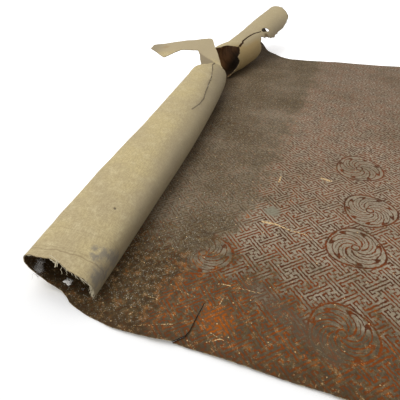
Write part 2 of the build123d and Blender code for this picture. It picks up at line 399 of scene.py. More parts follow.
def sheet_outline(step):
    """The torn outline of the flat paper, from the right end round the near side."""
    start = curl_start(0) - FLAT_LENGTH
    near_runs = steps(start, roll_length(MOUTH_EDGE[-1][1]), step)
    near = [cut_flat(run, near_place(run)) for run in near_runs]
    near[0] = (FLAT_LENGTH, near[0][1])
    corner = FRONT_LIP[0][1] - 2
    front = [cut_flat(roll_length(y), y) for y in steps(near_place(near_runs[-1]), corner, step)]
    front_lip = cut_along([(roll_length(corner), corner)] + FRONT_LIP, step)
    rise = math.radians(GAP_RISE_TURN) * roll_chain(GAP_FRONT)[0][2]
    gap_edge = cut_along([FRONT_LIP[-1], (rise, GAP_FRONT), (rise, GAP_BACK)], step)
    lip_runs = steps(rise, roll_length(GAP_BACK), step)
    back_lip = flat_points([(run, along(BACK_LIP, run)) for run in lip_runs])
    foot = TIP_FLANK[0][1]
    back = [cut_flat(roll_length(y), y) for y in steps(GAP_BACK, foot, step)]
    flank = cut_along([(roll_length(foot), foot)] + TIP_FLANK, step)
    far_start = curl_start(SHEET_WIDTH) - FLAT_LENGTH
    far = [cut_flat(run, far_place(run)) for run in steps(TIP_FLANK[-1][0], far_start, step)]
    far[-1] = (FLAT_LENGTH, far[-1][1])
    right = [(FLAT_LENGTH, y) for y in steps(far[-1][1], near[0][1], 3 * step)]
    # Each stretch with how deep its fraying is
    stretches = [(near, 0.5), (front, 0.2), (front_lip, 1.3), (gap_edge, 2.4), (back_lip, 1.1),
                 (back, 0.2), (flank, 1.3), (far, 0.8), (right, 0.1)]
    outline = []
    for seed, (points, depth) in enumerate(stretches):
        outline += frayed(points, depth, seed)[:-1]
    return outline


def sliver(points, width, end_width, fray, step):
    """A narrow tear along a row of points, with its widths at its first and last point."""
    line = frayed(stepped(points, step), fray, 21)
    left, right = [], []
    for k, point in enumerate(line):
        before, after = line[max(k - 1, 0)], line[min(k + 1, len(line) - 1)]
        half = blended(width, end_width, k / (len(line) - 1)) / 2
        left.append(pushed(point, before, after, half))
        right.append(pushed(point, before, after, -half))
    return left + right[-2::-1]


def within(points, loop):
    """Which points lie inside a loop."""
    crossings = np.zeros(len(points), int)
    for (x0, y0), (x1, y1) in zip(loop, loop[1:] + loop[:1]):
        if y0 == y1:
            continue
        spans = (points[:, 1] > min(y0, y1)) & (points[:, 1] <= max(y0, y1))
        crossings += spans & (points[:, 0] < x0 + (points[:, 1] - y0) * (x1 - x0) / (y1 - y0))
    return crossings % 2 == 1


def inside(points, loops):
    """Which points lie inside the outline and outside its holes."""
    points = np.asarray(points)
    kept = within(points, loops[0])
    for hole in loops[1:]:
        kept &= ~within(points, hole)
    return kept


def triangulated(loops, fill):
    """Triangles of the flat paper between its outline and its holes, with fill points inside."""
    fill = np.asarray(fill)
    fill = fill[inside(fill, loops)]
    corners = [point for loop in loops for point in loop]
    edge_points = np.asarray(corners)
    near_edge = [((edge_points - point) ** 2).sum(1).min() < EDGE_ROOM ** 2 for point in fill]
    fill = fill[~np.array(near_edge)]
    edges, first = [], 0
    for loop in loops:
        edges += [(first + k, first + (k + 1) % len(loop)) for k in range(len(loop))]
        first += len(loop)
    points = [Vector(point) for point in corners] + [Vector(point) for point in fill]
    points, _, faces, *_ = delaunay_2d_cdt(points, edges, [], 0, 1e-4)
    flat = np.array([tuple(point) for point in points])
    triangles = np.array([face for face in faces if len(face) == 3])
    return flat, triangles[inside(flat[triangles].mean(1), loops)]


def thick_paper(name, flat, triangles, outer, normals, thickness):
    """A closed sheet: its back at outer, its printed face a thickness along normals from it."""
    count = len(flat)
    inner = outer + normals * thickness
    rims = {edge: True for a, b, c in triangles for edge in ((a, b), (b, c), (c, a))}
    border = [(a, b) for a, b in rims if (b, a) not in rims]
    faces = [(a + count, b + count, c + count) for a, b, c in triangles]
    faces += [(c, b, a) for a, b, c in triangles]
    faces += [(a, b, b + count, a + count) for a, b in border]
    mesh = bpy.data.meshes.new(name)
    mesh.from_pydata([tuple(p) for p in np.vstack([outer, inner]) * MM], [],
                     [[int(v) for v in face] for face in faces])
    sides = len(triangles), len(triangles), len(border)
    mesh.polygons.foreach_set("material_index", np.repeat([0, 1, 2], sides))
    mesh.polygons.foreach_set("use_smooth", np.repeat([True, True, False], sides))
    places = mesh.attributes.new("flat_place", "FLOAT_VECTOR", "POINT")
    flat_places = np.column_stack([np.vstack([flat, flat]), np.zeros(2 * count)]) * MM
    places.data.foreach_set("vector", flat_places.ravel())
    mesh.validate()
    mesh.update()
    mesh.set_sharp_from_angle(angle=math.radians(SHARP_ANGLE))
    return mesh


def to_frame(x, y, z):
    """A point measured from the near corner, in millimetres of the frame."""
    return x - FLAT_LENGTH / 2, y - SHEET_WIDTH / 2, z


def left_of_slit(x, y):
    return x < along([(place, right) for right, place in EDGE_SLIT], y)


def slit_overlap(x, y):
    """How far the paper left of the slit is pushed over the paper right of it."""
    return SLIT_OVERLAP * (1 - fade(10, 24, y)) * fade(45, 66, x) * left_of_slit(x, y)


def sheet_lift(x, y):
    """How far the flat part lies off the table."""
    open_part = fade(30, 60, x)
    waves = 0.5 + 0.5 * ripple(x, y, 70, 3)
    near = (1.3 + 1.2 * ripple(x, 0, 34, 5)) * (1 - fade(0, 26, y)) * fade(8, 40, x)
    far = (0.8 + 0.8 * ripple(x, 0, 40, 6)) * (1 - fade(0, 30, along(FAR_EDGE, x) - y))
    far *= fade(25, 60, x)
    flap = SLIT_LIFT * (1 - fade(8, 33, y)) * fade(40, 66, x) * left_of_slit(x, y)
    return open_part * FLAT_WAVE * waves + max(0, near) + max(0, far) + flap


def roll_bulge(run, place, length):
    """How far the roll's paper is pushed out, or in where negative, by dents and creases."""
    free = 1 - fade(length - 22, length - 4, run)
    soft = 0.5 * ripple(run, place, 30, 11) + 0.22 * ripple(run, place, 11, 12)
    crumple = 0.1 * ripple(run, place, 4, 13)
    crack_run = along([(place, run) for run, place in FRONT_CRACK[::-1]], place)
    lip = CRACK_LIFT * fade(-9, 0, run - crack_run) * fade(226, 262, place)
    lip *= (run < crack_run) * (place < GAP_FRONT)
    return (soft + crumple) * free * fade(0, 14, run) + lip


def curled(flat):
    """Outer face and direction to the printed face, for places on the flat paper."""
    outer, normals = [], []
    for across, place in flat:
        run = curl_start(place) - across
        (x, z), heading = roll_place(place, run)
        side = math.radians(heading - 90)
        normal = (math.cos(side), 0, math.sin(side))
        if run <= 0:
            lift = sheet_lift(x, place)
            x += slit_overlap(across, place)
        else:
            lift = -roll_bulge(run, place, roll_length(place))
        outer.append(to_frame(x + normal[0] * lift, place, z + normal[2] * lift))
        normals.append(normal)
    return np.array(outer), np.array(normals)


def fibre(points, radius, verts, faces):
    """Adds a thin fibre, with three sides, along points in the frame's millimetres."""
    first = len(verts)
    for k, point in enumerate(points):
        before, after = points[max(k - 1, 0)], points[min(k + 1, len(points) - 1)]
        side = (after - before).cross(Vector((0.3, 1, 0.2))).normalized()
        other = side.cross(after - before).normalized()
        thin = radius * (0.35 if k in (0, len(points) - 1) else 1)
        for turn in (0, 2.1, 4.2):
            spoke = side * math.cos(turn) + other * math.sin(turn)
            verts.append(tuple((point + spoke * thin) * MM))
    for k in range(len(points) - 1):
        for side in range(3):
            a, b = first + 3 * k + side, first + 3 * k + (side + 1) % 3
            faces.append((a, b, b + 3, a + 3))
    last = len(verts) - 3
    faces += [(first + 2, first + 1, first), (last, last + 1, last + 2)]


def strand(start, end, sag, dice, count=6):
    """Points of an unsteady strand between two places measured from the near corner."""
    start, end = Vector(to_frame(*start)), Vector(to_frame(*end))
    points = [start.lerp(end, k / count) for k in range(count + 1)]
    for k in range(1, count + 1):
        points[k] += Vector([dice.uniform(-sag, sag) for _ in range(3)])
    return points


def strip_profile():
    """The strip's profile where it leaves the roll, as (x, z, heading) from right to left."""
    crown, heading, radius, _ = roll_chain(GAP_FRONT)[2]
    point, heading = step_along(crown, heading, radius, heading + STRIP_CROWN_TURN)
    heading += 180
    profile = [(*point, heading)]
    for radius, turn in [(-radius, STRIP_CROWN_TURN)] + STRIP_BENDS:
        for share in steps(0, 1, 0.05)[1:]:
            (x, z), at = step_along(point, heading, radius, turn * share)
            profile.append((x, z, at))
        point, heading = step_along(point, heading, radius, turn)
    return profile


def below_fold(x, y):
    """How far a place on the strip's root lies beyond the fold that turns it down."""
    (start_x, start_y), (end_x, end_y) = STRIP_FOLD
    length = math.hypot(end_x - start_x, end_y - start_y)
    beyond = ((x - start_x) * (end_y - start_y) - (y - start_y) * (end_x - start_x)) / length
    return max(0, beyond) if x > start_x - 1 else 0


def strip_surface(flat):
    """Outer face and direction to the printed face, for places on the flat strip."""
    profile = strip_profile()[::-1]
    heights = [(x, z) for x, z, _ in profile]
    headings = [(x, heading) for x, _, heading in profile]
    outer, normals = [], []
    for x, y in flat:
        sway = 0.5 * ripple(x, y, 22, 31) * fade(0, 20, -25 - x)
        z = along(heights, x) + STRIP_CLIMB * (y - GAP_FRONT) + sway - FOLD_SLOPE * below_fold(x, y)
        side = math.radians(along(headings, x) + 90)
        outer.append(to_frame(x, y, z))
        normals.append((math.cos(side), 0, math.sin(side)))
    return np.array(outer), np.array(normals)


def fibre_mesh(name, threads):
    """A mesh of fibres, each given as its points and its radius."""
    verts, faces = [], []
    for points, radius in threads:
        fibre(points, radius, verts, faces)
    mesh = bpy.data.meshes.new(name)
    mesh.from_pydata(verts, [], faces)
    return mesh


def mouth_threads(dice):
    """The strands that hang in the mouth, and the short fibres along its rim."""
    threads = [(strand(start, end, sag, dice), radius) for start, end, radius, sag in STRANDS]
    for _ in range(RIM_FIBRES):
        run = dice.uniform(74, 124)
        place = along(MOUTH_EDGE, run)
        (x, z), _ = roll_place(place, run)
        (x1, z1), _ = roll_place(place, run + dice.uniform(2, 5))
        start = (x, place + dice.uniform(-0.3, 0.4), z - 0.4)
        end = (x1 + dice.uniform(-1.5, 0.5), place - dice.uniform(-0.4, 1.6),
               z1 - dice.uniform(0.2, 2.2))
        threads.append((strand(start, end, 0.25, dice, 4), dice.uniform(0.07, 0.16)))
    return threads


def fluff_threads(dice):
    """The grey fluff that clings inside the mouth."""
    threads = []
    for start, end, count, spread in FLUFFS:
        for _ in range(count):
            share = dice.random()
            middle = [blended(a, b, share) for a, b in zip(start, end)]
            tips = [[value + dice.gauss(0, spread) for value in middle] for _ in range(2)]
            for tip in tips:
                tip[2] = max(tip[2], FLUFF_FLOOR)
            threads.append((strand(*tips, 0.7, dice, 5), dice.uniform(0.03, 0.06)))
    return threads


def tip_threads(dice):
    """The fibres along the torn flank of the tip, thickest near its hole."""
    count = len(TIP_FLANK) - 1
    runs, places = [[(k / count, point[part]) for k, point in enumerate(TIP_FLANK)]
                    for part in (0, 1)]
    threads = []
    for _ in range(FLANK_FIBRES):
        share = dice.random() ** 1.5
        run, place = along(runs, share), along(places, share)
        (x, z), _ = roll_place(place, run - 1)
        (x1, z1), _ = roll_place(place, run + dice.uniform(0.8, 2.2))
        end = (x1, place - dice.uniform(-1, 2.5), z1)
        threads.append((strand((x, place, z), end, 0.35, dice, 4), dice.uniform(0.08, 0.2)))
    return threads


def wad_mesh():
    """A lumpy wad of lint."""
    centre, size = WAD
    rings = bmesh.new()
    bmesh.ops.create_icosphere(rings, subdivisions=3, radius=1)
    for vert in rings.verts:
        lumps = 1 + 0.5 * noise.noise(vert.co * 1.3) + 0.3 * noise.noise(vert.co * 3)
        shape = Vector([a * b * lumps for a, b in zip(vert.co, size)])
        vert.co = (Vector(to_frame(*centre)) + shape) * MM
    mesh = bpy.data.meshes.new("white_wad")
    rings.to_mesh(mesh)
    rings.free()
    return mesh


def new_piece(name, mesh, materials):
    """An object that stands for the sheet's solid."""
    piece = bpy.data.objects.new(name, mesh)
    bpy.context.scene.collection.objects.link(piece)
    for material in materials:
        mesh.materials.append(material)
    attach(piece, "root")
    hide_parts("sheet")
    return piece


def paint(red, green, blue):
    """A colour given as it looks on a screen, from 0 to 255."""
    levels = [value / 255 for value in (red, green, blue)]
    return tuple(v / 12.92 if v <= 0.04045 else ((v + 0.055) / 1.055) ** 2.4 for v in levels) + (1,)


def fill_inputs(made, inputs):
    """Gives a node's inputs their values or links."""
    for key, value in inputs.items():
        if isinstance(value, bpy.types.NodeSocket):
            made.id_data.links.new(value, made.inputs[key])
        else:
            made.inputs[key].default_value = value


def node(tree, kind, inputs=None, **settings):
    """A new node, with values or links for its inputs."""
    made = tree.nodes.new(kind)
    for name, value in settings.items():
        setattr(made, name, value)
    fill_inputs(made, inputs or {})
    return made


def tree_of(values):
    """The node tree that the links among values belong to."""
    return next(value.id_data for value in values if isinstance(value, bpy.types.NodeSocket))


def maths(operation, *values):
    """Arithmetic on links and numbers."""
    made = node(tree_of(values), "ShaderNodeMath", dict(enumerate(values)), operation=operation)
    return made.outputs[0]


plus, minus, times = partial(maths, "ADD"), partial(maths, "SUBTRACT"), partial(maths, "MULTIPLY")
times_plus = partial(maths, "MULTIPLY_ADD")
larger, smaller = partial(maths, "MAXIMUM"), partial(maths, "MINIMUM")
absolute, sine = partial(maths, "ABSOLUTE"), partial(maths, "SINE")


def vectors(operation, *values):
    """Arithmetic on vectors. A distance, a length or a product is a single value."""
    made = node(tree_of(values), "ShaderNodeVectorMath", dict(enumerate(values)),
                operation=operation)
    single = operation in ("DISTANCE", "LENGTH", "DOT_PRODUCT")
    return made.outputs["Value" if single else "Vector"]


def scaled(vector, factor):
    made = node(tree_of((vector, factor)), "ShaderNodeVectorMath", {0: vector, "Scale": factor},
                operation="SCALE")
    return made.outputs["Vector"]


def rising(value, low, high, to_low=0, to_high=1):
    """Goes smoothly from to_low to to_high as a value passes from low to high."""
    made = node(tree_of([value]), "ShaderNodeMapRange",
                {0: value, 1: low, 2: high, 3: to_low, 4: to_high}, interpolation_type="SMOOTHSTEP")
    return made.outputs[0]


def falling(value, low, high, top=1):
    """Goes smoothly from top to 0 as a value passes from low to high."""
    return rising(value, low, high, top, 0)


def mixed(share, first, second):
    """The first colour, with a share of the second."""
    made = node(tree_of((share, first, second)), "ShaderNodeMix", {0: share, 6: first, 7: second},
                data_type="RGBA")
    return made.outputs[2]


def painted(base, *coats):
    """A colour under coats, each a share and a colour."""
    for share, colour in coats:
        base = mixed(share, base, colour)
    return base


def relief(height, strength, depth):
    """Bump of a depth in millimetres."""
    return node(height.id_data, "ShaderNodeBump",
                {"Height": height, "Strength": strength, "Distance": depth * MM}).outputs[0]


def mottle(place, size, detail=3, roughness=0.55, stretch=(1, 1, 1), shift=0):
    """Uneven noise with spots of about a given size in millimetres."""
    moved = vectors("ADD", vectors("MULTIPLY", place, stretch), (shift, -shift, 0))
    made = node(place.id_data, "ShaderNodeTexNoise", {"Vector": moved, "Scale": 1 / size,
                "Detail": detail, "Roughness": roughness}, noise_dimensions="2D")
    return made.outputs[0]


def flat_place(tree):
    """The place on the flat paper, in millimetres, with its two parts."""
    read = node(tree, "ShaderNodeAttribute", attribute_name="flat_place").outputs["Vector"]
    place = scaled(read, 1 / MM)
    parts = node(tree, "ShaderNodeSeparateXYZ", {0: place})
    return place, parts.outputs[0], parts.outputs[1]


def gap_to_bar(along_bar, across_bar, start, offset, length):
    """Distance to a straight bar of the fret, negative inside it. It starts at start."""
    ends = minus(absolute(minus(along_bar, start + length / 2)), length / 2 + FRET_HALF_LINE)
    sides = minus(absolute(minus(across_bar, offset)), FRET_HALF_LINE)
    return larger(ends, sides)


def new_group(name, *sockets):
    """A group of shader nodes. Each socket is given as its name, side and kind."""
    tree = bpy.data.node_groups.new(name, "ShaderNodeTree")
    for socket, side, kind in sockets:
        tree.interface.new_socket(socket, in_out=side, socket_type="NodeSocket" + kind)
    return tree


def fret_group():
    """Key fret: pairs of lines in a basket weave, with hooked ends, on the sheet's diagonal."""
    tree = new_group("key_fret", ("Place", "INPUT", "Vector"), ("Line", "OUTPUT", "Float"))
    place = node(tree, "NodeGroupInput").outputs[0]
    turned = node(tree, "ShaderNodeVectorRotate", {"Vector": place, "Angle": math.radians(45)},
                  rotation_type="Z_AXIS").outputs[0]
    units = scaled(turned, 1 / FRET_PITCH)
    parts = node(tree, "ShaderNodeSeparateXYZ", {0: units})
    cells = [maths("ROUND", maths("DIVIDE", part, FRET_CELL)) for part in parts.outputs[:2]]
    x, y = [absolute(minus(part, times(cell, FRET_CELL)))
            for part, cell in zip(parts.outputs, cells)]
    # Every other cell is turned over its diagonal
    odd = maths("PINGPONG", plus(*cells), 1)
    first, second = times_plus(odd, minus(y, x), x), times_plus(odd, minus(x, y), y)
    bars = [
        gap_to_bar(first, second, 0, 0.5, FRET_CELL),
        gap_to_bar(second, first, 1.5, 0.5, FRET_CELL),
        gap_to_bar(first, second, 0.5, 1.5, 1),
        gap_to_bar(second, first, 1.5, 1.5, 0.8),
        gap_to_bar(first, second, 2.1, 2.5, 0.4),
    ]
    line = falling(reduce(smaller, bars), -FRET_SOFTNESS, FRET_SOFTNESS)
    node(tree, "NodeGroupOutput", {0: line})
    return tree


def roundel_group():
    """A roundel: a rim line, a plain band, and petals that swirl round a boss."""
    tree = new_group("roundel", ("Place", "INPUT", "Vector"), ("Centre", "INPUT", "Vector"),
                     ("Petals", "INPUT", "Float"), ("Curl", "INPUT", "Float"),
                     ("Turn", "INPUT", "Float"), ("Inside", "OUTPUT", "Float"),
                     ("Line", "OUTPUT", "Float"))
    given = node(tree, "NodeGroupInput")
    arm = vectors("SUBTRACT", given.outputs["Place"], given.outputs["Centre"])
    reach = vectors("LENGTH", arm)
    parts = node(tree, "ShaderNodeSeparateXYZ", {0: arm})
    angle = plus(maths("ARCTAN2", parts.outputs[1], parts.outputs[0]), given.outputs["Turn"])
    radius = minus(reach, times(sine(times(angle, 3)), 1.1))
    inside_rim = falling(radius, ROUNDEL_RADIUS + 0.7, ROUNDEL_RADIUS + 1.1)
    swirl = times_plus(reach, given.outputs["Curl"], angle)
    leaf = times(times(swirl, 0.5), given.outputs["Petals"])
    to_gap = times(absolute(sine(leaf)), times(reach, 0.28))
    gap_width = times_plus(reach, 0.035, 0.55)
    petal_end = times_plus(absolute(sine(leaf)), 2.8, 15)
    in_petals = times(rising(minus(petal_end, reach), -0.4, 0.4), rising(reach, 3.6, 4.6))
    gaps = times(falling(minus(to_gap, gap_width), -0.25, 0.25), in_petals)
    to_vein = times(absolute(maths("COSINE", leaf)), times(reach, 0.28))
    veins = times(falling(to_vein, 0.35, 0.7),
                  times(rising(reach, 8, 9), falling(reach, 14.5, 15.5)))
    lines = [
        falling(absolute(minus(radius, ROUNDEL_RADIUS)), 0.5, 1.1),
        falling(absolute(minus(petal_end, reach)), 0.6, 1.1),
        gaps,
        veins,
        falling(absolute(minus(reach, BOSS_RADIUS)), 0.45, 0.9),
    ]
    node(tree, "NodeGroupOutput", {0: inside_rim, 1: reduce(larger, lines)})
    return tree


def scratch(place, start, end, width):
    """1 on a thin scratch between two places on the flat paper."""
    run = Vector((end[0] - start[0], end[1] - start[1], 0))
    arm = vectors("SUBTRACT", place, (start[0], start[1], 0))
    share = vectors("DOT_PRODUCT", arm, run / run.length_squared)
    held = node(place.id_data, "ShaderNodeClamp", {0: share}).outputs[0]
    return falling(vectors("DISTANCE", arm, scaled(run, held)), width * 0.4, width)


SILVER_LIGHT = paint(170, 159, 140)
SILVER_DARK = paint(127, 113, 92)
LINE_BROWN = paint(74, 36, 12)
LINE_RED = paint(110, 50, 10)
LINE_NEAR = paint(122, 58, 4)
LINE_ORANGE = paint(156, 79, 0)
OLIVE_DARK = paint(55, 40, 20)
OLIVE_LIGHT = paint(86, 70, 42)
BAND_GREY = paint(88, 74, 58)
FLECK_GREY = paint(172, 169, 158)
MARGIN_BROWN = paint(62, 44, 24)
# Painted shadow along the slit, under the lifted flap's edge
SLIT_SHADOW_DARK = paint(32, 21, 12)
# Painted shade on the roll's inside, stronger further in from the mouth
INSIDE_SHADE_BROWN = paint(46, 31, 14)
# Painted light on the roll's inside where it is seen through the gap, over the print's brown
INSIDE_FAR_LIGHT = paint(168, 122, 78)
SCRATCH_CREAM = paint(226, 192, 138)
DISC_GREY = paint(126, 122, 104)
BACK_YELLOW = paint(190, 173, 127)
BACK_GREY = paint(177, 161, 124)
BACK_LIGHT = paint(204, 190, 150)
BACK_DARK = paint(140, 122, 86)
# Painted shade on the roll's flank that faces away from the lamp
BACK_FLANK_SHADE = paint(134, 121, 97)
# Painted shade on the flank below the back crack, as a darker tan
TIP_FLANK_SHADED_TAN = paint(150, 124, 72)
# Painted shade along the creases at the mouth
BACK_CREASE_SHADE = paint(118, 98, 66)
STRIP_GREY = paint(164, 149, 118)
# Painted shade beyond the strip's fold
STRIP_SHADE = paint(126, 112, 88)
STRIP_STAIN = paint(150, 122, 84)
# Painted shadow along the front crack, and the colour of a dark spot
CRACK_SHADOW_AND_SPOT_BROWN = paint(66, 52, 34)
STAIN_BLUE = paint(110, 105, 98)
EDGE_BROWN = paint(84, 66, 42)
EDGE_TAN = paint(160, 140, 100)
FIBRE_CREAM = paint(205, 194, 166)
FLUFF_GREY = paint(168, 165, 160)
WAD_WHITE = paint(255, 252, 245)
TORN_BROWN = paint(96, 74, 40)

# Stage. The floor glows less near the front, between two places in metres, so its shadow shows
GLOW_PLACES = (-0.25, -0.08)
GLOW_NEAR = 0.12
GLOW_FAR = 0.55
FLOOR_PLACE = -0.0002
WORLD_LIGHT = 0.64
LAMP_WATTS = 11
LAMP_SIZE = 1
LAMP_PLACE = (-0.5, -0.2, 1.2)
CAMERA_PLACE = (-0.6, -383.7, 202.5)
CAMERA_PITCH = 37.4
CAMERA_HEADING = (-0.34, 0.94)
LENS = 36


def new_material(name):
    material = bpy.data.materials.new(name)
    material.use_nodes = True
    return material, material.node_tree, material.node_tree.nodes["Principled BSDF"]


def slit_shade(place, width):
    """1 along the slit, where the shadow under the lifted flap's edge is painted."""
    return reduce(larger, [scratch(place, start, end, width)
                           for start, end in zip(EDGE_SLIT, EDGE_SLIT[1:])])


def print_material():
    """Embossed print: silver-grey bands between brown lines, worn off in places."""
    material, tree, shader = new_material("embossed_print")
    settings = bpy.context.scene.paper_scroll
    place, x, y = flat_place(tree)
    broad = mottle(place, 45, 3, 0.5, shift=11)
    middling = mottle(place, 14, 4, 0.6, shift=27)
    patchy = mottle(place, 6, 4, 0.7, shift=95)
    small = mottle(place, 3.2, 4, 0.65, shift=5)
    fine = mottle(place, 0.9, 3, 0.6, shift=43)

    # The worn paper left of a ragged line, and the browner paper near the near edge
    from_seam = times_plus(rising(y, 212, 430), -11, minus(x, SEAM_PLACE))
    from_seam = plus(from_seam, times(falling(y, 40, 130), 34))
    from_seam = plus(from_seam, times_plus(middling, 30, -15))
    left_part = falling(from_seam, -12, 12)
    seam = times(left_part, minus(1, left_part))
    near_line = plus(times_plus(x, -0.17, NEAR_BAND), times_plus(middling, 90, -45))
    near_side = falling(minus(y, near_line), -22, 22)

    # Lines of the fret and of the roundels that lie over it, a little unsteady
    jitter = node(tree, "ShaderNodeTexNoise", {"Vector": place, "Scale": 0.45, "Detail": 3},
                  noise_dimensions="2D").outputs["Color"]
    drawn = vectors("ADD", place, scaled(vectors("SUBTRACT", jitter, (0.5, 0.5, 0.5)), 1.7))
    line = node(tree, "ShaderNodeGroup", {0: drawn}, node_tree=fret_group()).outputs[0]
    roundel_tree = roundel_group()
    in_roundel = 0
    for centre_x, centre_y, petals, curl, turn in ROUNDELS:
        inputs = {"Place": drawn, "Centre": (centre_x, centre_y, 0), "Petals": petals,
                  "Curl": curl, "Turn": turn}
        covered, own = node(tree, "ShaderNodeGroup", inputs, node_tree=roundel_tree).outputs
        in_roundel = larger(in_roundel, covered)
        line = times_plus(covered, minus(own, line), line)

    # Where the silver is worn through, and where the ground shows orange
    wear = times_plus(left_part, 0.3, times(near_side, 0.13))
    wear = plus(wear, times_plus(broad, 0.5, -0.25))
    wear = plus(wear, times_plus(small, 1.4, -0.66))
    wear = plus(wear, times(in_roundel, 0.03))
    worn = rising(wear, 0.02, 0.42)
    rust = times_plus(near_side, 0.16, times_plus(patchy, 1.5, -0.98))
    rust = plus(times_plus(seam, 0.7, rust), times_plus(small, 0.5, -0.25))
    rust = rising(rust, 0, 0.22)

    # Silver bands and brown lines, and the olive ground where they are worn off
    ground = rising(plus(times(patchy, 0.5), times(small, 0.5)), 0.38, 0.62)
    olive = mixed(ground, OLIVE_DARK, settings.worn_colour)
    silver = mixed(rising(small, 0.35, 0.7), SILVER_DARK, settings.silver_colour)
    silver = mixed(times(near_side, 0.82), silver, olive)
    brown = mixed(rising(middling, 0.35, 0.65), settings.line_colour, LINE_RED)
    brown = painted(brown, (times(near_side, 0.7), LINE_NEAR), (rust, LINE_ORANGE))
    line_here = times(line, times_plus(left_part, -0.45, 1))
    base = painted(
        mixed(line_here, silver, brown),
        (times(worn, 0.85), olive),
        (times(rising(y, 260, 460), 0.2), settings.worn_colour),
        (times(times(rust, near_side), 0.18), LINE_ORANGE),
        (times(scratch(drawn, *DULL_BAND, 9), 0.5), BAND_GREY),
    )

    # An orange patch, grey flecks, the darker margin and a grey worn disc
    arm = vectors("DISTANCE", place, ORANGE_PATCH)
    patch = falling(plus(arm, times_plus(small, 26, -13)), 6, 13, 0.75)
    flecks = times(rising(fine, 0.58, 0.68), rising(small, 0.45, 0.6))
    margin = falling(y, -3, 12)
    arm = vectors("DISTANCE", place, WORN_DISC)
    base = painted(
        base,
        (times(patch, times_plus(line, 0.7, 0.3)), LINE_ORANGE),
        (times(flecks, times_plus(left_part, 0.75, 0.15)), FLECK_GREY),
        (times(margin, 0.6), MARGIN_BROWN),
        (falling(plus(arm, times_plus(small, 8, -4)), 4, 8, 0.8), DISC_GREY),
    )

    # Scratches, cream cracks near the near edge and pale specks
    web = absolute(minus(mottle(place, 8, 5, 0.7, shift=71), 0.5))
    web = times(falling(web, 0.003, 0.011), rising(patchy, 0.5, 0.6))
    web = times(web, larger(margin, times(near_side, 0.6)))
    dots = node(tree, "ShaderNodeTexVoronoi", {"Vector": place, "Scale": 1 / SPECK_SPACING},
                voronoi_dimensions="2D").outputs["Distance"]
    pale = reduce(larger, [falling(dots, 0.012, 0.035), web]
                  + [scratch(drawn, start, end, width) for start, end, width in SCRATCHES])

    # Painted shadow along the slit, painted shade on the roll's inside, and painted light on the
    # inside seen through the gap
    streaks = mottle(place, 5, 4, 0.6, stretch=(0.25, 1, 1), shift=83)
    far_inside_light = times(falling(x, -46, -30), rising(y, 399, 409))
    base = painted(
        base,
        (times(pale, rising(fine, 0.4, 0.56)), SCRATCH_CREAM),
        (slit_shade(place, 0.35), SLIT_SHADOW_DARK),
        (times(falling(x, -34, 4), rising(y, 4, 34, 0.45, 0.9)), INSIDE_SHADE_BROWN),
        (times(far_inside_light, rising(streaks, 0.3, 0.7, 0.45, 1)), INSIDE_FAR_LIGHT),
    )
    rough = plus(times_plus(worn, 0.2, 0.48), times(line, 0.12))
    raised = minus(times(fine, 0.5), times(line_here, 0.8))
    raised = plus(raised, times(middling, 2.2))
    fill_inputs(shader, {"Base Color": base, "Roughness": rough, "Specular IOR Level": 0.12,
                         "Normal": relief(raised, 0.6, 0.18)})
    return material


